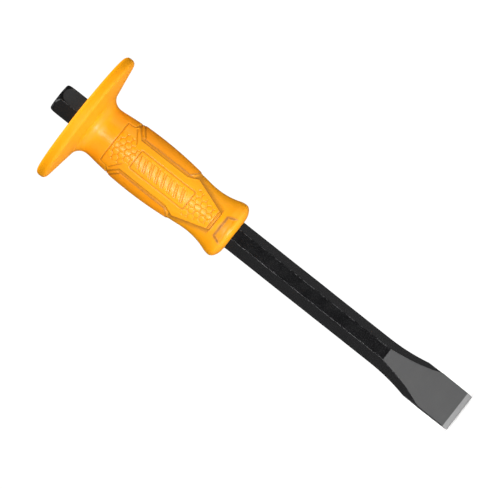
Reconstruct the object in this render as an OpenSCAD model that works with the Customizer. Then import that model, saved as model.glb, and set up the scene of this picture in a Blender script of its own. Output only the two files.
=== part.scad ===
// Cold chisel with a moulded hand guard.
// Two pieces: one forged steel bar, and one soft grip moulded round it. The grip's bore is
// cut by the bar's own section, so the bar's flats stop it turning, and the step where the
// octagonal bar meets the hexagonal head stops it sliding.
// The chisel stands upright: the cutting edge lies along X with its middle at the origin, the
// blade's broad faces look towards -Y and +Y, and the striking face is at the top.

/* [Bar] */
// Length from the cutting edge to the striking face
chisel_length = 300; // [290:5:340]
// Width across the flats of the octagonal bar
bar_flats = 18.2; // [17:0.2:19]
// Width across the flats of the hexagonal head
head_flats = 17.8; // [16.8:0.2:18.4]
// Length of the head that stands out above the guard
head_length = 16.6; // [12:0.2:30]
// Depth of the rounding round the striking face
crown_depth = 6; // [4:0.5:9]
// Radius of the flat in the middle of the striking face
strike_radius = 7; // [5:0.25:7.5]

/* [Blade] */
// Width of the blade at the cutting edge
blade_width = 24.4; // [21:0.2:30]
// Height above the edge where the blade's sides stop being parallel
parallel_height = 32.6; // [20:0.2:40]
// Height above the edge where the sides start to flare out from the bar
flare_height = 60; // [52:1:80]
// Height above the edge where the flat blade faces run out on the bar
face_height = 55.4; // [54:0.2:60]
// Slope of each blade face against the bar's axis, in degrees
face_angle = 7.2; // [6.4:0.1:7.6]
// Length of the ground bevel at the cutting edge
bevel_length = 3.5; // [2:0.1:5]
// Included angle of the cutting edge, in degrees
edge_angle = 60; // [50:1:65]
// Width of the land left at the very edge
edge_land = 0.3; // [0.1:0.1:0.5]

/* [Hand guard] */
// Diameter of the guard disc
guard_diameter = 87; // [74:0.2:100]
// Thickness of the guard at its rim
guard_rim = 6.4; // [6:0.1:8]
// Rounding of the rim's two edges
rim_round = 2.7; // [1:0.1:2.9]
// Slope of the guard's underside, in degrees
guard_slope = 9.2; // [4:0.2:10]

/* [Grip] */
// Length of the whole moulding, guard included
grip_length = 114.7; // [113:0.1:120]
// Radius of the neck below the guard
neck_radius = 16.3; // [15:0.05:17]
// Radius of the belly that fills the palm
belly_radius = 18.25; // [17.5:0.05:20]
// Radius of the waist for the little finger
waist_radius = 15.2; // [14:0.05:16]
// Radius of the flare at the blade end
flare_radius = 18.5; // [17.5:0.05:20]
// Turn of the grip's front and the head's front corner round the bar, from the blade's face
grip_turn = -8; // [-20:1:20]

/* [Grip relief] */
// Half the width of the front panel where it passes between the side pads
panel_half = 10.7; // [9:0.1:11.5]
// Width of the grooves
groove_width = 1; // [0.6:0.1:1.4]
// Depth of the grooves
groove_depth = 0.6; // [0.3:0.1:0.9]
// Height by which the side pads stand proud
pad_lift = 0.35; // [0.2:0.05:0.6]
// Depth of the pocket at the blade end
pocket_depth = 1.2; // [0.6:0.1:1.6]
// Width of the blank label box
label_width = 12.8; // [8:0.2:16]
// Length of the blank label box
label_length = 39.5; // [24:0.5:41]

/* [Hidden] */
$fn = 96;
// Steps in each arc of an outline, length of what cuts right through, and how far a cut
// reaches past the end of what it cuts
arc_steps = 8;
through = 100;
overshoot = 1;

// Bar: octagon below the step inside the grip, hexagon above it, with the step this far below
// the guard's top face
step_at = 60;
bar_r = bar_flats / 2;
bar_corner = bar_r / cos(22.5);
head_corner = head_flats / sqrt(3);
guard_top = chisel_length - head_length;
head_step = guard_top - step_at;

// Crown: an arc that starts upright just outside the head's corners and stops a lip short of
// the striking face
crown_room = 0.15;
lip_height = 0.4;
lip_width = 1;
crown_r = head_corner + crown_room;
crown_in = crown_r - strike_radius - lip_width;
crown_arc = (crown_in * crown_in + crown_depth * crown_depth) / (2 * crown_in);
crown_turn = asin((crown_depth - lip_height) / crown_arc);

// Blade sides: an arc that leaves the bar's side upright and ends where the sides are parallel
blade_r = blade_width / 2;
flare_out = blade_r - bar_r;
flare_rise = flare_height - parallel_height;
flare_arc = (flare_rise * flare_rise + flare_out * flare_out) / (2 * flare_out);
flare_turn = asin(flare_rise / flare_arc);

// Blade corners: the octagon's slanting flats bend outwards on a longer arc, down to the edge
corner_height = 50;
corner_arc = 138;
corner_turn = asin(corner_height / corner_arc);

// Blade thickness: ground bevel, flat face, then a hollow run-out that meets the bar's flat
runout_height = 48;
bevel_r = edge_land / 2 + bevel_length * tan(edge_angle / 2);
runout_r = bevel_r + (runout_height - bevel_length) * tan(face_angle);
runout_turn = 2 * (atan2(bar_r - runout_r, face_height - runout_height) - face_angle);
runout_chord = norm([bar_r - runout_r, face_height - runout_height]);
runout_arc = runout_chord / (2 * sin(runout_turn / 2));

// Guard underside: a cone that runs from the rim into the neck's fillet
guard_r = guard_diameter / 2;
rim_centre = guard_r - rim_round;
rim_under = guard_rim - rim_round * (1 / cos(guard_slope) - tan(guard_slope));
cone_at_neck = guard_rim + (guard_r - neck_radius) * tan(guard_slope);
neck_at = 17;
neck_fillet = (neck_at - cone_at_neck) / (1 / cos(guard_slope) - tan(guard_slope));

// Grip stations, measured down from the guard's top face, and the share of each S-curve's
// radii that its first arc gets
belly_at = 48.3;
waist_at = 91;
flare_at = 109.5;
neck_share = 0.1;
belly_share = 0.82;
waist_share = 0.78;

// Relief on the grip's front and back, as [half-width, station] points
panel_points = [
    [13.8, 25.8],
    [14.2, 30.4],
    [16, 32.6],
    [panel_half, 38.2],
    [panel_half, 72.4],
    [13.5, 78.6],
    [6.2, 100.6],
    [5.4, 101.3]
];
pad_gap = 1.6;
pad_half = panel_half + pad_gap;
pad_start = 40;
pad_stop = 72.8;
pad_run = guard_r - pad_half;
pad_points = [
    [pad_half, pad_start],
    [guard_r, pad_start - pad_run],
    [guard_r, pad_stop + pad_run],
    [pad_half, pad_stop]
];
label_at = 42.2;
label_points = [
    [label_width / 2, label_at],
    [label_width / 2, label_at + label_length]
];

// End pocket: a shallow recess in the flare, which widens towards the grip's end and is open there
pocket_points = [
    [6.7, 105],
    [7.5, 105.8],
    [11, grip_length + overshoot]
];

// Points of an arc about a centre, from one angle to another
function arc(centre, r, from, to) =
    [for (i = [0 : arc_steps]) let (a = from + (to - from) * i / arc_steps)
        centre + r * [cos(a), sin(a)]];

// S-curve between two extremes [radius, station] of a revolved outline. Its two arcs touch,
// so their radii add up to one total, and the first arc gets its share of it.
function s_curve(from, to, share) =
    let (
        run = to[1] - from[1],
        rise = abs(to[0] - from[0]),
        out = sign(to[0] - from[0]),
        total = (run * run + rise * rise) / (2 * rise),
        first = total * share,
        last = total - first,
        turn = asin(run / total)
    )
    concat(
        [for (i = [1 : arc_steps]) let (a = turn * i / arc_steps)
            from + first * [out * (1 - cos(a)), sin(a)]],
        [for (i = [arc_steps - 1 : -1 : 0]) let (a = turn * i / arc_steps)
            to - last * [out * (1 - cos(a)), sin(a)]]
    );

// The guard's top face, rim and sloping underside, down to the neck
function guard_outline() =
    concat(
        [[0, 0]],
        arc([rim_centre, rim_round], rim_round, -90, 0),
        arc([rim_centre, rim_under], rim_round, 0, 90 - guard_slope),
        arc([neck_radius + neck_fillet, neck_at], neck_fillet, 270 - guard_slope, 180)
    );

// The hand grip below the neck, down to the dome that closes on the bar
function hand_outline() =
    concat(
        s_curve([neck_radius, neck_at], [belly_radius, belly_at], neck_share),
        s_curve([belly_radius, belly_at], [waist_radius, waist_at], belly_share),
        s_curve([waist_radius, waist_at], [flare_radius, flare_at], waist_share),
        [for (i = [1 : arc_steps]) let (a = 90 * i / arc_steps)
            [bar_r + (flare_radius - bar_r) * cos(a),
            flare_at + (grip_length - flare_at) * sin(a)]]
    );

// Revolves [radius, station] points round the bar, with stations going down from the guard
module revolve_down(points) {
    translate([0, 0, guard_top])
        mirror([0, 0, 1])
            rotate_extrude()
                polygon(concat(points, [[0, grip_length]]));
}

// The hand grip alone, with its surface moved out by d
module hand_body(d) {
    revolve_down(concat([[0, neck_at]], [for (p = hand_outline()) p + [d, 0]]));
}

// Pushes [half-width, height] points, mirrored to the other side, through the bar along Y
module through_bar(points) {
    other_side = [for (i = [len(points) - 1 : -1 : 0]) [-points[i][0], points[i][1]]];
    rotate([90, 0, 0])
        linear_extrude(height = through, center = true)
            polygon(concat(points, other_side));
}

// The same with stations that go down from the guard
module through_grip(points) {
    through_bar([for (p = points) [p[0], guard_top - p[1]]]);
}

// A ring along a relief outline, groove_width wide
module outline_ring(points) {
    middle = (points[0][1] + points[len(points) - 1][1]) / 2;
    difference() {
        through_grip(points);
        through_grip([for (p = points) p + groove_width * [-1, sign(middle - p[1])]]);
    }
}

// The bar before the blade and the crown are shaped: a hexagon above the step and an octagon
// below it, each with a pair of flats that faces the sides
module hexagonal_head() {
    translate([0, 0, head_step])
        rotate(grip_turn + 30)
            cylinder(r = head_corner, h = chisel_length - head_step, $fn = 6);
}

module octagonal_bar() {
    rotate(22.5)
        cylinder(r = bar_corner, h = head_step, $fn = 8);
}

// What the crown, the round shoulder of the striking face, takes off the head
module crown_waste() {
    rotate_extrude()
        polygon(concat(
            arc([crown_r - crown_arc, chisel_length - crown_depth], crown_arc, 0, crown_turn),
            [
                [strike_radius, chisel_length],
                [strike_radius, chisel_length + overshoot],
                [crown_r, chisel_length + overshoot]
            ]
        ));
}

// Everything inside the blade's sides, faces and corners, up to the step in the bar
module blade_envelope() {
    side = concat(
        [[blade_r, 0]],
        arc([bar_r + flare_arc, flare_height], flare_arc, 180 + flare_turn, 180),
        [[bar_r, head_step]]
    );
    face = concat(
        [[edge_land / 2, 0], [bevel_r, bevel_length]],
        arc([runout_r + runout_arc * cos(face_angle), runout_height - runout_arc * sin(face_angle)],
            runout_arc, 180 - face_angle, 180 - face_angle - runout_turn),
        [[bar_r, head_step]]
    );
    corner = concat(
        arc([bar_r + corner_arc, corner_height], corner_arc, 180 + corner_turn, 180),
        [[bar_r, head_step]]
    );
    intersection() {
        through_bar(side);
        rotate(90)
            through_bar(face);
        rotate(45)
            through_bar(corner);
        rotate(-45)
            through_bar(corner);
    }
}

module chisel_bar() {
    color("#26272a")
        union() {
            blade_envelope();
            difference() {
                hexagonal_head();
                crown_waste();
            }
        }
}

module guard_grip() {
    color("#ffa41c")
        difference() {
            rotate(grip_turn)
                grip_moulding();
            octagonal_bar();
            hexagonal_head();
        }
}

module grip_moulding() {
    difference() {
        union() {
            revolve_down(concat(guard_outline(), hand_outline()));
            intersection() {
                side_pads();
                hand_body(pad_lift);
            }
        }
        difference() {
            union() {
                outline_ring(panel_points);
                outline_ring(label_points);
            }
            hand_body(-groove_depth);
        }
        difference() {
            through_grip(pocket_points);
            hand_body(-pocket_depth);
        }
    }
}

// Both side pads, which wrap round the grip's sides from front to back
module side_pads() {
    difference() {
        through_grip(pad_points);
        through_grip([[pad_half, 0], [pad_half, grip_length]]);
    }
}

chisel_bar();
guard_grip();
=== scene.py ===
import math

import bpy
import numpy as np
from mathutils import Matrix, Vector


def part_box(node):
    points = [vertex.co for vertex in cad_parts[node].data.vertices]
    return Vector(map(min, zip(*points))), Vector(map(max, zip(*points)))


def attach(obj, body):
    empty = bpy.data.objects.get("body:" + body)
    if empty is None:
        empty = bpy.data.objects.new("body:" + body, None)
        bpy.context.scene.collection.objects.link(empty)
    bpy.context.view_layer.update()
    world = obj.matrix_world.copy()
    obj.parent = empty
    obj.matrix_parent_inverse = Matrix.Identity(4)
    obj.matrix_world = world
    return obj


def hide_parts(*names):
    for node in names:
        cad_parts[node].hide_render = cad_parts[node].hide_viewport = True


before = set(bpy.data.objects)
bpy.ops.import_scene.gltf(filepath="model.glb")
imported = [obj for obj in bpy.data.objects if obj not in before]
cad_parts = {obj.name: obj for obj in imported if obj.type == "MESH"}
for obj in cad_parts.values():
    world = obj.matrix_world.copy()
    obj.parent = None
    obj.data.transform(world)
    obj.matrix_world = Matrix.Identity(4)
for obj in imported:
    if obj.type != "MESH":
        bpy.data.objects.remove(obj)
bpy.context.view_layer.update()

# ---------------------------------------------------------------- sizes, in millimetres
MM = 0.001
bar_low, bar_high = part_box("chisel_bar")
grip_low, grip_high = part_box("guard_grip")

LENGTH = bar_high.z / MM
GUARD_TOP = grip_high.z / MM
GRIP_LENGTH = (grip_high.z - grip_low.z) / MM
GUARD_R = (grip_high.x - grip_low.x) / 2 / MM
BLADE_R = (bar_high.x - bar_low.x) / 2 / MM

BAR_R = 9.1                 # half the width across the octagon's flats
HEAD_R = 8.9                # half the width across the hexagon's flats
STEP_AT = 60                # where the octagon changes to the hexagon, below the guard's top
HEAD_STEP = GUARD_TOP - STEP_AT
TURN = math.radians(-8)     # turn of the grip and the head round the bar
ROUNDING = 0.45             # radius of the octagon's corners
HEAD_ROUNDING = 0.4         # radius of the hexagon's corners
FORGED, FORGED_SEED = 0.035, 5      # unevenness of the forged surface

# Blade, in heights above the cutting edge
PARALLEL = 32.6             # the sides are parallel up to here
FLARE = 60.0                # and have narrowed to the bar's width here
FLARE_IN = BLADE_R - BAR_R  # by this much on each side, along one arc
FLARE_ARC = ((FLARE - PARALLEL) ** 2 + FLARE_IN ** 2) / (2 * FLARE_IN)
CORNER = 50.0               # the slanting flats bend outwards below here
CORNER_ARC = 138.0          # radius of that bend
FACE = 55.4                 # the faces run out on the bar's flats here
RUNOUT = 48.0               # where the hollow curve of that run-out starts
BEVEL = 3.5                 # top of the ground bevel
LAND_R = 0.15               # half the width of the land at the very edge
BEVEL_R = LAND_R + BEVEL * math.tan(math.radians(30))   # half of a 60 degree edge
FACE_SLOPE = math.tan(math.radians(7.2))    # of each face against the axis
RUNOUT_R = BEVEL_R + (RUNOUT - BEVEL) * FACE_SLOPE
CORNER_GROUND = 22.0        # the rounded corners are ground bare up to here

# Crown of the head
CROWN = 6.0                 # depth of the rounding
CROWN_R = HEAD_R * 2 / math.sqrt(3) + 0.15  # just outside the hexagon's corners
CROWN_BLEND = 0.5           # softness of the edge between the flats and the rounding
STRIKE_R = 7.0              # radius of the flat in the middle
LIP_WIDTH, LIP_HEIGHT = 1.0, 0.3    # the lip between that flat and the rounding
CROWN_IN = CROWN_R - STRIKE_R - LIP_WIDTH
CROWN_ARC = (CROWN_IN ** 2 + CROWN ** 2) / (2 * CROWN_IN)
STRIKE_WEAR = 1.2           # the coat is worn this far down from the striking face

# Grip profile: radii, and stations measured down from the guard's top face
FLAT_TOP_R = 12.0           # the guard's flat top begins here, outside the bore's mouth
RIM, RIM_ROUND = 6.4, 2.7   # thickness of the guard's rim, and radius of both its edges
GUARD_SLOPE = math.radians(9.2)     # of the guard's underside
NECK_R, NECK_AT = 16.3, 17.0        # narrowest under the guard
BELLY_R, BELLY_AT = 18.25, 48.3     # widest in the hand
WAIST_R, WAIST_AT = 15.2, 91.0      # narrowest again
END_R, END_AT = 18.5, 109.5         # widest above the rounded end
NECK_SHARE, BELLY_SHARE, WAIST_SHARE = 0.1, 0.82, 0.78  # of the first of the two arcs below each
END_MOUTH_R = BAR_R + 0.6   # the rounded end turns in to the bore here
PLAIN_GAP, RELIEF_GAP = 0.4, 0.22   # between the profile's points on the guard and below it

# Bore: room round the bar, and its two mouths as extra radius and distance from the end
BORE_ROOM = 0.05
TOP_MOUTH = [(0.0, 0.5), (0.15, 0.15), (0.5, 0.0)]
END_MOUTH = [(0.3, 0.05), (0.0, 0.5)]

# Relief on the grip's front and back: half-widths, stations, depths and heights
PANEL_AT = [25.8, 30.4, 32.6, 38.2, 72.4, 78.6, 100.6, 101.3]
PANEL_HALF = [13.8, 14.2, 16.0, 10.7, 10.7, 13.5, 6.2, 5.4]
GROOVE_START, GROOVE_STOP, GROOVE_DEPTH = 30.6, 101.6, 0.6
WING_AT = 74.5              # the groove beside the panel opens into a scooped wing below here
BEAD = 0.16                 # height of the bead along the panel's edge
PAD_HALF, PAD_START, PAD_STOP, PAD_LIFT = 12.3, 40.0, 72.8, 0.35
LABEL_HALF, LABEL_START, LABEL_STOP, LABEL_CORNER = 6.4, 42.2, 81.7, 0.8
LABEL_LINE, LABEL_DEPTH = 1.1, 0.38     # width and depth of the line round the label box
POCKET_AT = [105.0, 105.8, 115.7]
POCKET_HALF = [6.7, 7.5, 11.0]
POCKET_DEPTH = 1.2
POCKET_FADE, POCKET_FADE_RUN = 109.0, 3.0   # the pocket runs out towards the rounded end
BAND_HALF, BAND_START, BAND_STOP, BAND_LIFT = 7.6, 101.7, 104.6, 0.15   # before the pocket
CELL = 4.0                  # spacing of the honeycomb's cells
CELL_DOME, CELL_GROOVE = 0.16, 0.3
UPPER_CELLS_START, UPPER_CELLS_STOP, UPPER_CELLS_HALF = 26.9, 41.5, 9.4
LOWER_CELLS_START, LOWER_CELLS_STOP = 81.9, 98.6
MATTE_DISC, MATTE_FADE = 7.0, 5.0   # the guard's matt surface fades from here, over this length

# Fine straight lines of the panel: start and end as half-width and station, width, depth.
# Those that cross the middle start a little beyond it
LINES = [
    ((-1, 25.9), (13.6, 25.9), 1.1, 0.42),      # the panel's top
    ((13.7, 26.0), (14.2, 30.4), 1.0, 0.35),    # its shoulders
    ((14.2, 30.4), (16.2, 32.4), 1.0, 0.35),
    ((14.0, 32.2), (7.3, 37.3), 1.0, 0.35),     # the slanting pair
    ((-1, 99.4), (6.0, 99.4), 0.8, 0.45),       # the two end lines
    ((-1, 101.2), (6.2, 101.2), 0.9, 0.55),
]


# ---------------------------------------------------------------- small maths helpers
def smooth(x):
    """0 below 0, 1 above 1, an S-curve between."""
    x = np.clip(x, 0.0, 1.0)
    return x * x * (3 - 2 * x)


def window(x, start, stop, rise, fall):
    """1 between start and stop, with soft ramps of these lengths just inside the two ends."""
    return smooth((x - start) / rise) * smooth((stop - x) / fall)


def bell(x, middle, width):
    """1 at the middle, falling softly to both sides."""
    return np.exp(-((x - middle) / width) ** 2)


def lerp(a, b, t):
    """The way from a to b, at the share t."""
    return a + (b - a) * t


def smooth_min(a, b, k):
    """The smaller of a and b, blended over a width of about k."""
    h = np.clip(0.5 + 0.5 * (b - a) / k, 0, 1)
    return lerp(b, a, h) - k * h * (1 - h)


def ripple(u, v, seed, count=9):
    """A smooth, repeatable unevenness between about -1 and 1."""
    rng = np.random.default_rng(seed)
    total = np.zeros(np.broadcast(u, v).shape)
    for _ in range(count):
        a, b = rng.normal(0, 1, 2)
        total = total + np.sin(a * u + b * v + rng.uniform(0, 2 * math.pi))
    return total / count ** 0.5 / 1.5


# ---------------------------------------------------------------- meshes out of rings
def ring_at(radius, angle, height):
    """A level ring of points in these directions."""
    level = np.full(len(angle), height)
    return np.column_stack([radius * np.cos(angle), radius * np.sin(angle), level])


def rings_to_faces(rows, columns):
    """Quads between consecutive closed rings, and the row and column of each."""
    r, c = np.meshgrid(np.arange(rows - 1), np.arange(columns), indexing="ij")
    r, c = r.ravel(), c.ravel()
    n = (c + 1) % columns
    low, high = r * columns, (r + 1) * columns
    return np.stack([low + c, low + n, high + n, high + c], 1), r, c


def mesh_object(name, verts, faces, slots=None):
    """A smooth-shaded object from millimetre points and faces, with a material slot per face."""
    mesh = bpy.data.meshes.new(name)
    mesh.from_pydata((np.asarray(verts) * MM).tolist(), [], faces)
    mesh.polygons.foreach_set("use_smooth", [True] * len(mesh.polygons))
    if slots is not None:
        mesh.polygons.foreach_set("material_index", slots)
    mesh.update()
    obj = bpy.data.objects.new(name, mesh)
    bpy.context.collection.objects.link(obj)
    return obj


def store(obj, name, values):
    """Keep one value per point of an object's mesh, for its material to read."""
    layer = obj.data.attributes.new(name, "FLOAT", "POINT")
    layer.data.foreach_set("value", values.ravel().astype(np.float32))


# ---------------------------------------------------------------- the forged bar
RING = 240          # points round the bar
ARC_SHARE = 5       # one in this many lies on a rounded corner
COAT, GROUND, BRIGHT = 0, 1, 2      # the bar's material slots


def section(distances, turn, rounding):
    """One ring of RING points round a polygon whose flats lie at these distances from the axis.

    The flats' normals are spread evenly, starting at turn. The corners are rounded."""
    sides = len(distances)
    per_side = RING // sides
    arc_steps = per_side // ARC_SHARE
    flat_steps = per_side - arc_steps
    angles = turn + np.arange(sides) * 2 * math.pi / sides
    normals = np.column_stack([np.cos(angles), np.sin(angles)])
    inner = np.asarray(distances) - rounding
    corners = []
    for i in range(sides):
        j = (i + 1) % sides
        corners.append(np.linalg.solve(normals[[i, j]], inner[[i, j]]))
    points = []
    step = 2 * math.pi / sides / arc_steps
    for i in range(sides):
        start = corners[i - 1] + normals[i] * rounding
        end = corners[i] + normals[i] * rounding
        points += [lerp(start, end, s / flat_steps) for s in range(flat_steps)]
        for s in range(arc_steps):
            a = angles[i] + s * step
            points.append(corners[i] + rounding * np.array([math.cos(a), math.sin(a)]))
    return np.array(points)


def blade_distances(z):
    """Distances of the eight flats from the axis at a height: side, corner, face, corner, twice."""
    if z >= FLARE:
        side = BAR_R
    elif z > PARALLEL:
        side = BAR_R + FLARE_ARC - math.sqrt(FLARE_ARC ** 2 - (FLARE - z) ** 2)
    else:
        side = BLADE_R
    corner = BAR_R
    if z < CORNER:
        corner += CORNER_ARC - math.sqrt(CORNER_ARC ** 2 - (CORNER - z) ** 2)
    if z >= FACE:
        face = BAR_R
    elif z > RUNOUT:
        t = (z - RUNOUT) / (FACE - RUNOUT)
        rise = BAR_R - RUNOUT_R
        straight = FACE_SLOPE * (FACE - RUNOUT)
        face = RUNOUT_R + straight * t + (rise - straight) * t * t
    elif z > BEVEL:
        face = BEVEL_R + (z - BEVEL) * FACE_SLOPE
    else:
        face = lerp(LAND_R, BEVEL_R, z / BEVEL)
    pointed = (side + face) / math.sqrt(2)      # where a slanting flat would vanish
    corner = min(corner, pointed - 0.02)
    return [side, corner, face, corner] * 2


def bar_heights():
    """Ring heights up the octagonal part, close together where the shape bends."""
    crisp = [0, 0.12]
    for bend, gap in ((BEVEL, 0.12), (PARALLEL, 0.25), (FACE, 0.2)):
        crisp += [bend - gap, bend + gap]
    blade = list(np.arange(1, FLARE + 2, 1.0))
    shank = list(np.arange(FLARE + 4, HEAD_STEP, 3.0))
    return sorted(crisp + blade + shank)


def crown_radius(z):
    """Radius of the crown's surface at a height near the striking face."""
    depth = LENGTH - z
    if depth >= CROWN:
        return CROWN_R + (depth - CROWN)
    return CROWN_R - CROWN_ARC + math.sqrt(CROWN_ARC ** 2 - (CROWN - depth) ** 2)


def octagon_rows():
    """Rings up the blade and the shank, a little uneven above the blade, as forged."""
    rows = []
    for z in bar_heights():
        distances = blade_distances(z)
        ring = section(distances, 0.0, min(ROUNDING, 0.4 * distances[2]))
        turn = np.arctan2(ring[:, 1], ring[:, 0])
        uneven = FORGED * smooth((z - FACE) / 12) * ripple(3 * turn, z / 7, FORGED_SEED)
        ring = ring * (1 + uneven / BAR_R)[:, None]
        rows.append(np.column_stack([ring, np.full(RING, z)]))
    return rows


def head_rows():
    """Rings from the hidden step up the hexagon, over the crown and in to its middle."""
    octagon = section([BAR_R] * 8, 0.0, ROUNDING)
    hexagon = section([HEAD_R] * 6, TURN, HEAD_ROUNDING)
    angle = np.arctan2(hexagon[:, 1], hexagon[:, 0])
    radius = np.hypot(hexagon[:, 0], hexagon[:, 1])
    rows = [np.column_stack([octagon, np.full(RING, HEAD_STEP)])]
    lip_at = LENGTH - LIP_HEIGHT
    crown_reach = 10            # the rounding cuts into the flats nowhere below this
    sides = np.linspace(HEAD_STEP + 0.02, LENGTH - crown_reach - 1, 20)
    crown = np.arange(LENGTH - crown_reach, lip_at, 0.25)
    for z in np.concatenate([sides, crown]):
        rows.append(ring_at(smooth_min(radius, crown_radius(z), CROWN_BLEND), angle, z))
    lip = crown_radius(lip_at)
    outer = np.minimum(smooth_min(radius, lip, CROWN_BLEND), lip)
    for t in np.linspace(0.15, 1, 6):
        a = t * math.pi / 2
        inset = (lip - STRIKE_R) * (1 - math.cos(a))
        rows.append(ring_at(outer - inset, angle, lip_at + LIP_HEIGHT * math.sin(a)))
    for t in np.linspace(0.85, 0.0, 8):
        rows.append(ring_at(max(STRIKE_R * t, 0.02), angle, LENGTH))
    return rows


def on_corner(column, sides):
    """Whether columns of a ring lie on a rounded corner between two of its flats."""
    per_side = RING // sides
    return column % per_side >= per_side - per_side // ARC_SHARE


def bar_wear(points, lower_rows):
    """1 on the rounded corners and on the striking face, but not close to the guard's top: there
    the coat stays dark as painted shade.
    """
    wear = np.zeros(points.shape[:2])
    for rows, sides in ((slice(0, lower_rows), 8), (slice(lower_rows + 1, None), 6)):
        wear[rows, on_corner(np.arange(RING), sides)] = 1
    heights = points[:, 0, 2]
    wear[heights > LENGTH - STRIKE_WEAR] = 1
    # Painted shade: the corners stay dark next to the guard's top.
    shade_by_guard = 1 - smooth(np.abs(heights - GUARD_TOP - 2) / 5)
    return wear * (1 - shade_by_guard)[:, None]


def bar_slots(middle, column):
    """The material slot of each quad, from the height of its middle and its column."""
    side = column * 8 // RING
    ground_face = (side % 4 == 2) & (middle < FACE)
    ground_side = (side % 4 == 0) & (middle < PARALLEL)
    ground_corner = on_corner(column, 8) & (middle < CORNER_GROUND)
    slots = np.full(len(column), COAT)
    slots[ground_face | ground_side | ground_corner] = GROUND
    slots[middle < BEVEL] = BRIGHT
    return slots.tolist()


def make_bar():
    """The whole chisel bar, one mesh of rings from the cutting edge to the striking face."""
    lower = octagon_rows()
    points = np.array(lower + head_rows())
    quads, row, column = rings_to_faces(len(points), RING)
    middle = (points[row, column, 2] + points[row + 1, column, 2]) / 2
    edge_cap = list(range(RING))[::-1]
    strike_cap = [(len(points) - 1) * RING + i for i in range(RING)]
    faces = quads.tolist() + [edge_cap, strike_cap]
    slots = bar_slots(middle, column) + [BRIGHT, COAT]
    bar = mesh_object("forged_bar", points.reshape(-1, 3), faces, slots)
    store(bar, "wear", bar_wear(points, len(lower)))
    weighted = bar.modifiers.new("flat_shading", "WEIGHTED_NORMAL")
    weighted.mode = "FACE_AREA_WITH_ANGLE"
    weighted.weight = 60
    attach(bar, "root")
    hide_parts("chisel_bar")
    return bar


# ---------------------------------------------------------------- the moulded grip
def arc_profile(centre, r, start, end, spacing):
    """Points along an arc of the profile, between two angles."""
    steps = max(3, int(abs(end - start) * r / spacing))
    a = np.linspace(start, end, steps + 1)
    return np.column_stack([centre[0] + r * np.cos(a), centre[1] + r * np.sin(a)])


def s_profile(start, end, share, spacing):
    """Two touching arcs between two extremes of the profile, as in the CAD outline."""
    run = end[1] - start[1]
    rise = abs(end[0] - start[0])
    out = np.sign(end[0] - start[0])
    total = (run * run + rise * rise) / (2 * rise)
    turn = math.asin(run / total)
    first, last = total * share, total * (1 - share)
    a = np.linspace(0, turn, max(4, int(first * turn / spacing)) + 1)[1:]
    b = np.linspace(turn, 0, max(4, int(last * turn / spacing)) + 1)[1:]
    head = np.column_stack([start[0] + out * first * (1 - np.cos(a)), start[1] + first * np.sin(a)])
    tail = np.column_stack([end[0] - out * last * (1 - np.cos(b)), end[1] - last * np.sin(b)])
    return np.vstack([head, tail])


def grip_profile():
    """[radius, station] points from the bore's top mouth, over the guard, to its lower mouth."""
    # How far along the axis a round's centre is from the corner that it rounds, per radius
    cone = 1 / math.cos(GUARD_SLOPE) - math.tan(GUARD_SLOPE)
    rim_centre = GUARD_R - RIM_ROUND
    rim_under = RIM - RIM_ROUND * cone
    fillet = (NECK_AT - RIM - (GUARD_R - NECK_R) * math.tan(GUARD_SLOPE)) / cone
    across_top = np.linspace(FLAT_TOP_R, rim_centre, 24)[:-1]
    top = np.column_stack([across_top, np.zeros(len(across_top))])
    quarter = math.pi / 2
    rim_top = arc_profile((rim_centre, RIM_ROUND), RIM_ROUND, -quarter, 0, PLAIN_GAP)
    rim_low = arc_profile((rim_centre, rim_under), RIM_ROUND, 0, quarter - GUARD_SLOPE, PLAIN_GAP)
    neck_centre = (NECK_R + fillet, NECK_AT)
    neck = arc_profile(neck_centre, fillet, 3 * quarter - GUARD_SLOPE, 2 * quarter, PLAIN_GAP)
    under = np.linspace(rim_low[-1], neck[0], 20)[1:-1]
    hand = np.vstack([
        s_profile((NECK_R, NECK_AT), (BELLY_R, BELLY_AT), NECK_SHARE, RELIEF_GAP),
        s_profile((BELLY_R, BELLY_AT), (WAIST_R, WAIST_AT), BELLY_SHARE, RELIEF_GAP),
        s_profile((WAIST_R, WAIST_AT), (END_R, END_AT), WAIST_SHARE, RELIEF_GAP),
    ])
    a = np.linspace(0, quarter, 48)[1:]
    dome_r = END_MOUTH_R + (END_R - END_MOUTH_R) * np.cos(a)
    dome_at = END_AT + (GRIP_LENGTH - END_AT) * np.sin(a)
    dome = np.column_stack([dome_r, dome_at])
    return np.vstack([top, rim_top, rim_low, under, neck, hand, dome])


def polygon_radius(angle, sides, flat_r, turn):
    """Distance from the axis to a regular polygon's outline in a direction."""
    sector = 2 * math.pi / sides
    off = (angle - turn + sector / 2) % sector - sector / 2
    return flat_r / np.cos(off)


def channel(distance, width, depth, wall=0.3):
    """The height in a groove, at a distance from its middle line."""
    return -depth * (1 - smooth((np.abs(distance) - width / 2 + wall) / wall))


def line_distance(x, q, start, end):
    """Distance from points to a straight line between two points."""
    along = np.array([end[0] - start[0], end[1] - start[1]], float)
    t = ((x - start[0]) * along[0] + (q - start[1]) * along[1]) / (along @ along)
    t = np.clip(t, 0, 1)
    return np.hypot(x - start[0] - t * along[0], q - start[1] - t * along[1])


def box_distance(x, q, half, start, stop, corner):
    """Distance from a rounded box's outline, negative inside."""
    dx = np.abs(x) - half + corner
    dq = np.abs(q - (start + stop) / 2) - (stop - start) / 2 + corner
    outside = np.hypot(np.maximum(dx, 0), np.maximum(dq, 0))
    return outside + np.minimum(np.maximum(dx, dq), 0) - corner


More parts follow.
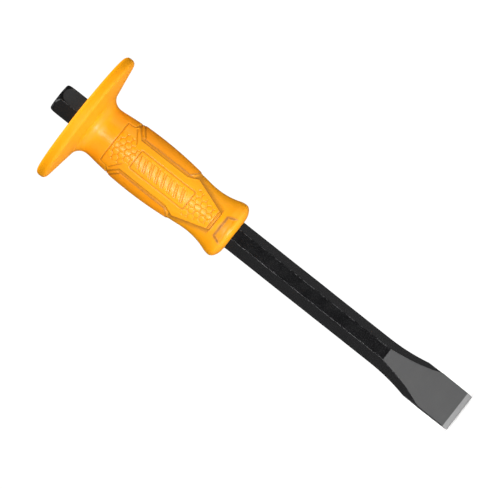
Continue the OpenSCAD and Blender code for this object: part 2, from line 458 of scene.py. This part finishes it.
def honeycomb(x, q):
    """Domed six-sided cells with grooves between them."""
    column = CELL * math.sqrt(3)
    best = np.full(x.shape, 1e9)
    for shift_x, shift_q in ((0, 0), (column / 2, CELL / 2)):
        dx = (x - shift_x + column / 2) % column - column / 2
        dq = (q - shift_q + CELL / 2) % CELL - CELL / 2
        slant = math.sqrt(3) / 2 * np.abs(dx) + np.abs(dq) / 2
        best = np.minimum(best, np.maximum(np.abs(dq), slant))
    reach = best / (CELL / 2)
    return CELL_DOME * (1 - reach ** 2) - CELL_GROOVE * smooth((reach - 0.76) / 0.18)


def leaning_ribs(x, q):
    """Plain raised ribs, wide and thin by turns, that lean across the label box."""
    pitch, lean = 4.6, 0.35
    half_width, count = 4.3, 7.55
    lift, gap_depth = 0.24, 0.42
    run = (q - LABEL_START - pitch / 2 + lean * x) / pitch
    across = np.abs(run % 1 - 0.5) * pitch
    inside = smooth((half_width - np.abs(x)) / 0.4) * window(run, 0.02, count, 0.05, 0.05)
    return inside * (lift - gap_depth * window(across, 1.1, 2.1, 0.35, 0.35))


def panel_edge(ax, q):
    """Distance inwards from the panel's outline, measured across its slope."""
    half = np.interp(q, PANEL_AT, PANEL_HALF)
    slope = np.interp(q, PANEL_AT[1:], np.diff(PANEL_HALF) / np.diff(PANEL_AT), left=0)
    return (half - ax) / np.sqrt(1 + np.clip(slope, -1, 1) ** 2)


def side_groove(edge, q):
    """Heights of the groove along the panel's sides and of the bead beside it, and the painted
    shade in and beside the groove.

    Beside the lower wings the groove rises gently to the waist."""
    lower_part = smooth((q - WING_AT) / 3)
    beside = window(q, GROOVE_START, GROOVE_STOP, 0.8, 0.6)
    narrow_width, steep = 1.3, 0.35
    scooped_width, gentle = 0.6, 3.2
    inner_wall = 1 - smooth((edge + 0.12) / 0.32)
    narrow = inner_wall * (1 - smooth((-edge - narrow_width) / steep))
    scooped = inner_wall * (1 - smooth((-edge - scooped_width) / gentle))
    groove = -GROOVE_DEPTH * lerp(narrow, scooped, lower_part)
    bead = BEAD * bell(edge, 0.55, 0.4)
    # Painted shade: darker along the groove's inner wall, on its floor, and over the scooped wings.
    floor = np.maximum(0.7 * scooped * lower_part, 0.4 * narrow * (1 - lower_part))
    painted_shade = np.maximum(0.85 * bell(edge, -0.2, 0.36), floor)
    return groove * beside, bead * beside, painted_shade * beside


def side_pad(ax, q):
    """1 on the raised pad on each side of the grip, with slanting ends, and the painted shade along
    its edge.
    """
    slant = ax - PAD_HALF
    ends = np.minimum(q - PAD_START + slant, PAD_STOP + slant - q) / math.sqrt(2)
    edge = np.minimum(slant, ends)
    # The second value is painted shade along the pad's edge.
    return smooth((edge + 0.15) / 0.45), 0.75 * bell(edge, 0, 0.4)


def fine_lines(x, q):
    """Height of the straight lines round the panel and the label box's outline, and their painted
    shade.
    """
    ax = np.abs(x)
    lines = [channel(line_distance(ax, q, start, end), width, depth)
             for start, end, width, depth in LINES]
    box = box_distance(x, q, LABEL_HALF, LABEL_START, LABEL_STOP, LABEL_CORNER)
    lines.append(channel(box, LABEL_LINE, LABEL_DEPTH))
    height = np.min(lines, axis=0)
    # Painted shade: darker in the lines, and on the strip between the two end lines.
    between_end_lines = window(q, 98.9, 101.8, 0.5, 0.5) * smooth((6.4 - ax) / 0.5)
    return height, np.maximum(-1.2 * height, 0.35 * between_end_lines)


def pocket(ax, q):
    """Height of the pocket in the flare, open towards the blade, and its painted shade."""
    half = np.interp(q, POCKET_AT, POCKET_HALF)
    edge = np.minimum(half - ax, q - POCKET_AT[0])
    fade = 1 - smooth((q - POCKET_FADE) / POCKET_FADE_RUN)
    # Painted shade: darker on the pocket's wall and, fainter, over its floor.
    painted_shade = np.maximum(0.95 * bell(edge, 0.35, 0.8), 0.25 * smooth(edge / 0.8))
    return -POCKET_DEPTH * smooth((edge + 0.3) / 1.5) * fade, painted_shade * fade


def honeycomb_area(ax, q, edge):
    """1 where the panel has cells: above and below the label box."""
    upper = window(q, UPPER_CELLS_START, UPPER_CELLS_STOP, 0.8, 0.8)
    upper = upper * smooth((UPPER_CELLS_HALF - ax) / 1.2) * smooth((edge - 3.4) / 1.2)
    lower = window(q, LOWER_CELLS_START, LOWER_CELLS_STOP, 0.8, 0.8)
    return upper + lower * smooth((edge - 1.6) / 1.2)


def relief(x, q):
    """Height of the moulded relief over the plain turned shape, its painted shade in the hollows,
    and the side pads.

    x is the distance across the grip's front or back, and q the station down it."""
    ax = np.abs(x)
    edge = panel_edge(ax, q)
    groove, bead, groove_shade = side_groove(edge, q)
    pad, pad_edge_shade = side_pad(ax, q)
    lines, line_shade = fine_lines(x, q)
    hollow, pocket_shade = pocket(ax, q)
    cells = honeycomb(x, q) * honeycomb_area(ax, q, edge)
    ribs = leaning_ribs(x, q)
    band = BAND_LIFT * smooth((BAND_HALF - ax) / 1.2) * window(q, BAND_START, BAND_STOP, 0.5, 0.6)
    carved = np.minimum(groove, lines)
    height = carved + bead + band + cells + ribs + hollow + PAD_LIFT * pad
    painted_shade = np.max([groove_shade, pad_edge_shade, line_shade, pocket_shade], axis=0)
    # Painted shade in the hollows, also between the honeycomb's cells and between the ribs.
    shade_in_hollows = np.clip(painted_shade - 0.9 * np.minimum(cells, 0) - 1.8 * np.minimum(ribs, 0), 0, 1)
    return height, shade_in_hollows, pad


def grip_angles():
    """Columns round the grip, close together on the front and back where the relief is."""
    relief_reach = 54           # degrees to either side of the middle of the front
    fine = np.radians(np.arange(-relief_reach, relief_reach, 0.66))
    coarse = np.radians(np.arange(relief_reach + 0.4, 180 - relief_reach - 0.4, 1.4))
    half_turn = np.concatenate([fine, coarse])
    return np.concatenate([half_turn, half_turn + math.pi])


def bore_rings(angle):
    """Rings of the top mouth, the lower mouth and the bore, which follow the bar's section."""
    head_bore = polygon_radius(angle, 6, HEAD_R, TURN) + BORE_ROOM
    bar_bore = polygon_radius(angle, 8, BAR_R, 0.0) + BORE_ROOM
    grip_end = GUARD_TOP - GRIP_LENGTH
    top = [ring_at(head_bore + out, angle, GUARD_TOP - depth) for out, depth in TOP_MOUTH]
    low = [ring_at(bar_bore + out, angle, grip_end + depth) for out, depth in END_MOUTH]
    bore = [
        ring_at(bar_bore, angle, HEAD_STEP - 0.1),
        ring_at(head_bore, angle, HEAD_STEP + 0.1),
        ring_at(head_bore, angle, GUARD_TOP - TOP_MOUTH[0][1]),     # where the first ring is
    ]
    return top, low, bore


def moulded_rings(angle, facing):
    """Rings of the outside with its relief, and what the material reads at their points."""
    profile = grip_profile()
    tangent = np.gradient(profile, axis=0)
    tangent /= np.linalg.norm(tangent, axis=1)[:, None]
    outward = np.column_stack([tangent[:, 1], -tangent[:, 0]])
    r = np.repeat(profile[:, :1], len(angle), 1)
    q = np.repeat(profile[:, 1:], len(angle), 1)
    height, shade_in_hollows, pad = relief(r * np.sin(facing) * np.sign(np.cos(facing)), q)
    fade = smooth((r - BAR_R - 0.9) / 1.4) * (q > NECK_AT)      # 0 on the guard and at the bore
    # The painted shade in the hollows and the pads are kept off the guard and the bore.
    shade_in_hollows = shade_in_hollows * fade
    pad = pad * fade
    disc = 1 - smooth((q - MATTE_DISC) / MATTE_FADE)
    matte = np.maximum(disc, 0.5 * pad)
    r = r + outward[:, :1] * height * fade
    q = q + outward[:, 1:] * height * fade
    rings = np.stack([r * np.cos(angle), r * np.sin(angle), GUARD_TOP - q], -1)
    return rings, (("shade_in_hollows", shade_in_hollows), ("pad", pad), ("matte", matte))


def make_grip():
    """The moulding, one mesh of rings from the top mouth round the outside and up the bore."""
    facing = grip_angles()      # angle from the middle of the grip's front
    angle = facing + TURN - math.pi / 2
    top, low, bore = bore_rings(angle)
    outside, layers = moulded_rings(angle, facing)
    points = np.concatenate([top, outside, low, bore])
    quads, _, _ = rings_to_faces(len(points), len(angle))
    grip = mesh_object("guard_grip_moulding", points.reshape(-1, 3), quads.tolist())
    for name, values in layers:
        table = np.zeros(points.shape[:2])
        table[len(top):len(top) + len(values)] = values
        store(grip, name, table)
    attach(grip, "root")
    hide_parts("guard_grip")
    return grip


# ---------------------------------------------------------------- materials
def new_material(name):
    """A material, its nodes, its links and its Principled shader."""
    material = bpy.data.materials.new(name)
    material.use_nodes = True
    nodes = material.node_tree.nodes
    return material, nodes, material.node_tree.links, nodes["Principled BSDF"]


def attribute(nodes, name):
    """A value stored per point of the mesh."""
    node = nodes.new("ShaderNodeAttribute")
    node.attribute_name = name
    return node.outputs["Fac"]


def noise(nodes, links, scale, detail=3.0, stretch=(1, 1, 1)):
    """Noise in the object's own coordinates, finer along the axes with a larger stretch."""
    place = nodes.new("ShaderNodeTexCoord")
    mapping = nodes.new("ShaderNodeMapping")
    mapping.inputs["Scale"].default_value = stretch
    texture = nodes.new("ShaderNodeTexNoise")
    texture.inputs["Scale"].default_value = scale
    texture.inputs["Detail"].default_value = detail
    links.new(place.outputs["Object"], mapping.inputs["Vector"])
    links.new(mapping.outputs["Vector"], texture.inputs["Vector"])
    return texture.outputs["Fac"]


def spread(nodes, links, value, low, high, start=0.3, stop=0.7):
    """A value between start and stop, stretched to between low and high."""
    node = nodes.new("ShaderNodeMapRange")
    links.new(value, node.inputs["Value"])
    node.inputs["From Min"].default_value = start
    node.inputs["From Max"].default_value = stop
    node.inputs["To Min"].default_value = low
    node.inputs["To Max"].default_value = high
    return node.outputs["Result"]


def product(nodes, links, first, second):
    """Two values multiplied."""
    node = nodes.new("ShaderNodeMath")
    node.operation = "MULTIPLY"
    links.new(first, node.inputs[0])
    links.new(second, node.inputs[1])
    return node.outputs[0]


def weighted_sum(nodes, links, first, weight, second):
    """The first value times a constant weight, plus the second value."""
    node = nodes.new("ShaderNodeMath")
    node.operation = "MULTIPLY_ADD"
    links.new(first, node.inputs[0])
    node.inputs[1].default_value = weight
    links.new(second, node.inputs[2])
    return node.outputs[0]


def mix_colours(nodes, links, factor, first, second):
    """A mix of two colours, each a constant or a socket, by a socket's value."""
    mix = nodes.new("ShaderNodeMix")
    mix.data_type = "RGBA"
    links.new(factor, mix.inputs[0])
    for socket, colour in ((mix.inputs[6], first), (mix.inputs[7], second)):
        if isinstance(colour, tuple):
            socket.default_value = colour
        else:
            links.new(colour, socket)
    return mix.outputs[2]


def add_bump(nodes, links, shader, height, strength, distance):
    """A fine unevenness of the surface, up to this distance in metres."""
    bump = nodes.new("ShaderNodeBump")
    bump.inputs["Strength"].default_value = strength
    bump.inputs["Distance"].default_value = distance
    links.new(height, bump.inputs["Height"])
    links.new(bump.outputs["Normal"], shader.inputs["Normal"])


def orange_plastic():
    """Soft satin plastic: a fine grain, faint mottling, painted shade in the grooves, and a darker
    orange on the side pads as painted shade.

    The guard and the side pads are more matt than the rest."""
    material, nodes, links, shader = new_material("soft_orange_plastic")
    plain = (0.98, 0.375, 0.002, 1)
    # A darker orange for the side pads: painted shade for the grip's sides.
    pad_shade_colour = (1.0, 0.33, 0.002, 1)
    dull = (0.92, 0.33, 0.002, 1)
    # The colour of the painted shade in the grooves and hollows.
    painted_shade_colour = (0.22, 0.075, 0.001, 1)
    colour = mix_colours(nodes, links, attribute(nodes, "pad"), plain, pad_shade_colour)
    mottle = spread(nodes, links, noise(nodes, links, 260, 4), 0, 0.5)
    colour = mix_colours(nodes, links, mottle, colour, dull)
    # The painted shade is patchy, and the surface is rougher where it lies.
    patchy = spread(nodes, links, noise(nodes, links, 900, 2), 0.7, 1.0)
    painted_shade = product(nodes, links, attribute(nodes, "shade_in_hollows"), patchy)
    colour = mix_colours(nodes, links, painted_shade, colour, painted_shade_colour)
    links.new(colour, shader.inputs["Base Color"])
    grain = noise(nodes, links, 2200, 3)
    matte = attribute(nodes, "matte")
    satin = weighted_sum(nodes, links, matte, 0.2, spread(nodes, links, grain, 0.28, 0.36))
    links.new(weighted_sum(nodes, links, painted_shade, 0.4, satin), shader.inputs["Roughness"])
    links.new(spread(nodes, links, matte, 0.8, 0.3, 0, 1), shader.inputs["Specular IOR Level"])
    add_bump(nodes, links, shader, grain, 0.35, 0.00006)
    return material


def black_coat():
    """Satin black over forged steel: uneven sheen, fine grain, worn thin on the corners."""
    material, nodes, links, shader = new_material("black_coat")
    coat = (0.004, 0.004, 0.0045, 1)
    thin = (0.006, 0.006, 0.0065, 1)
    bare = (0.09, 0.09, 0.092, 1)
    blotches = noise(nodes, links, 130, 5)
    colour = mix_colours(nodes, links, spread(nodes, links, blotches, 0, 1), coat, thin)
    rubbed = spread(nodes, links, noise(nodes, links, 420, 4), 0.0, 0.8, 0.46, 0.7)
    worn = product(nodes, links, attribute(nodes, "wear"), rubbed)
    colour = mix_colours(nodes, links, worn, colour, bare)
    links.new(colour, shader.inputs["Base Color"])
    grain = noise(nodes, links, 1400, 4)
    links.new(spread(nodes, links, blotches, 0.14, 0.21), shader.inputs["Roughness"])
    shader.inputs["Specular IOR Level"].default_value = 1.0
    add_bump(nodes, links, shader, grain, 0.25, 0.00004)
    return material


def ground_steel():
    """Bare steel off a grinding belt, with lines across the blade and faint darker clouds."""
    material, nodes, links, shader = new_material("ground_steel")
    dark, light = (0.1, 0.101, 0.102, 1), (0.13, 0.13, 0.13, 1)
    cloudy = (0.092, 0.092, 0.094, 1)
    lines = noise(nodes, links, 40, 3, (1, 6, 60))
    clouds = noise(nodes, links, 90, 3)
    colour = mix_colours(nodes, links, lines, dark, light)
    shade = spread(nodes, links, clouds, 0, 0.35)
    colour = mix_colours(nodes, links, shade, colour, cloudy)
    links.new(colour, shader.inputs["Base Color"])
    shader.inputs["Metallic"].default_value = 0.6
    links.new(spread(nodes, links, lines, 0.42, 0.56), shader.inputs["Roughness"])
    add_bump(nodes, links, shader, lines, 0.25, 0.00003)
    return material


def bright_edge():
    """The freshly ground bevel, with lines that run down to the edge."""
    material, nodes, links, shader = new_material("bright_edge")
    dark, light = (0.196, 0.196, 0.196, 1), (0.262, 0.262, 0.262, 1)
    lines = noise(nodes, links, 45, 3, (60, 2, 2))
    colour = mix_colours(nodes, links, lines, dark, light)
    links.new(colour, shader.inputs["Base Color"])
    shader.inputs["Metallic"].default_value = 0.35
    links.new(spread(nodes, links, lines, 0.34, 0.46), shader.inputs["Roughness"])
    add_bump(nodes, links, shader, lines, 0.3, 0.00003)
    return material


# ---------------------------------------------------------------- stage, light and camera
def make_floor():
    """A round pale floor under the cutting edge.

    It shows in no reflection and casts no shadow, so the lamp below it reaches the chisel."""
    radius, steps = 0.45, 96
    turns = [2 * math.pi * i / steps for i in range(steps)]
    rim = [(radius * math.cos(a), radius * math.sin(a), 0.0) for a in turns]
    mesh = bpy.data.meshes.new("floor")
    mesh.from_pydata(rim, [], [list(range(steps))])
    floor = bpy.data.objects.new("floor", mesh)
    bpy.context.collection.objects.link(floor)
    material, _, _, shader = new_material("pale_floor")
    shader.inputs["Base Color"].default_value = (0.95, 0.95, 0.95, 1)
    shader.inputs["Emission Color"].default_value = (1, 1, 1, 1)
    shader.inputs["Emission Strength"].default_value = 0.12
    shader.inputs["Roughness"].default_value = 0.9
    shader.inputs["Specular IOR Level"].default_value = 0.0
    mesh.materials.append(material)
    floor.visible_glossy = False
    floor.visible_shadow = False


def make_world():
    """A white room to the camera, and an almost dark one to the object, which the lamps light."""
    to_object, to_camera = 0.03, 1.05
    world = bpy.data.worlds.new("studio")
    bpy.context.scene.world = world
    world.use_nodes = True
    nodes, links = world.node_tree.nodes, world.node_tree.links
    nodes.clear()
    out = nodes.new("ShaderNodeOutputWorld")
    path = nodes.new("ShaderNodeLightPath")
    mix = nodes.new("ShaderNodeMixShader")
    links.new(path.outputs["Is Camera Ray"], mix.inputs[0])
    for socket, strength in ((mix.inputs[1], to_object), (mix.inputs[2], to_camera)):
        shader = nodes.new("ShaderNodeBackground")
        shader.inputs["Color"].default_value = (1, 1, 1, 1)
        shader.inputs["Strength"].default_value = strength
        links.new(shader.outputs[0], socket)
    links.new(mix.outputs[0], out.inputs["Surface"])


def area_light(name, place, target, width, height, radiance, glossy=True):
    """A softbox that faces target, given by the radiance of its face.

    One that isn't glossy shows in no reflection."""
    data = bpy.data.lights.new(name, "AREA")
    data.shape = "RECTANGLE"
    data.size = width
    data.size_y = height
    data.energy = radiance * math.pi * width * height
    lamp = bpy.data.objects.new(name, data)
    bpy.context.collection.objects.link(lamp)
    lamp.location = place
    lamp.rotation_mode = "QUATERNION"
    lamp.rotation_quaternion = (Vector(target) - Vector(place)).to_track_quat("-Z", "Y")
    lamp.visible_camera = False
    lamp.visible_glossy = glossy


# Large soft lamps round the object: place across and along the view, and radiance
FILLS = [
    ("left_fill", -0.85, -0.35, 0.35),
    ("right_fill", 0.85, -0.35, 0.45),
    ("back_fill", 0.1, 0.9, 1.6),
]


def make_lights():
    """Soft lamps that light the chisel, and narrow ones whose reflections run down it."""
    middle, head = (0, 0, 0.15), (0, 0, 0.29)
    area_light("front_key", (-0.03, -0.9, 0.16), middle, 0.5, 0.4, 7.2, glossy=False)
    area_light("front_sheen", (-0.24, -0.87, 0.2), (0, 0, 0.27), 0.08, 0.7, 11.5)
    area_light("low_sheen", (-0.1, -0.47, -0.56), (0, 0, 0.2), 0.1, 0.6, 14.5)
    area_light("left_strip", (-0.9, -0.07, 0.2), middle, 0.25, 0.9, 0.14)
    area_light("right_strip", (0.9, 0.07, 0.2), middle, 0.25, 0.9, 0.18)
    area_light("left_head_light", (-0.8, -0.42, 0.42), head, 0.4, 0.4, 0.14)
    area_light("right_head_light", (0.77, -0.48, 0.42), head, 0.4, 0.4, 0.45)
    area_light("crown_light", (-0.5, -0.35, 1.0), head, 0.5, 0.5, 1.6)
    area_light("overhead", (0.0, 0.0, 1.3), (0, 0, 0), 1.1, 1.1, 5.0, glossy=False)
    for name, across, along, radiance in FILLS:
        area_light(name, (across, along, 0.2), middle, 0.8, 0.8, radiance, glossy=False)


def make_camera():
    """The camera looks level, a little from the left of the blade's face, rolled so that the
    chisel lies across the picture from the upper left to the lower right."""
    distance = 2.1
    picture_width = 0.2873      # how much the picture shows across, at the chisel
    sensor = 36
    side = math.radians(4.7)
    roll = math.radians(51.6)
    aim_across, aim_height = -0.0006, 0.1605
    level = Vector((math.cos(side), -math.sin(side), 0))
    look = Vector((math.sin(side), math.cos(side), 0))
    up = level * math.sin(roll) + Vector((0, 0, math.cos(roll)))
    right = look.cross(up)
    aim = level * aim_across + Vector((0, 0, aim_height))
    place = aim - look * distance
    data = bpy.data.cameras.new("camera")
    data.sensor_width = sensor
    data.lens = sensor * distance / picture_width
    data.clip_start, data.clip_end = 0.1, 50
    camera = bpy.data.objects.new("camera", data)
    bpy.context.collection.objects.link(camera)
    camera.matrix_world = Matrix((right, up, -look)).transposed().to_4x4()
    camera.location = place
    bpy.context.scene.camera = camera


make_camera()
bar = make_bar()
for material in (black_coat(), ground_steel(), bright_edge()):
    bar.data.materials.append(material)
grip = make_grip()
grip.data.materials.append(orange_plastic())
make_floor()
make_world()
make_lights()
bpy.context.scene.view_settings.view_transform = "Standard"
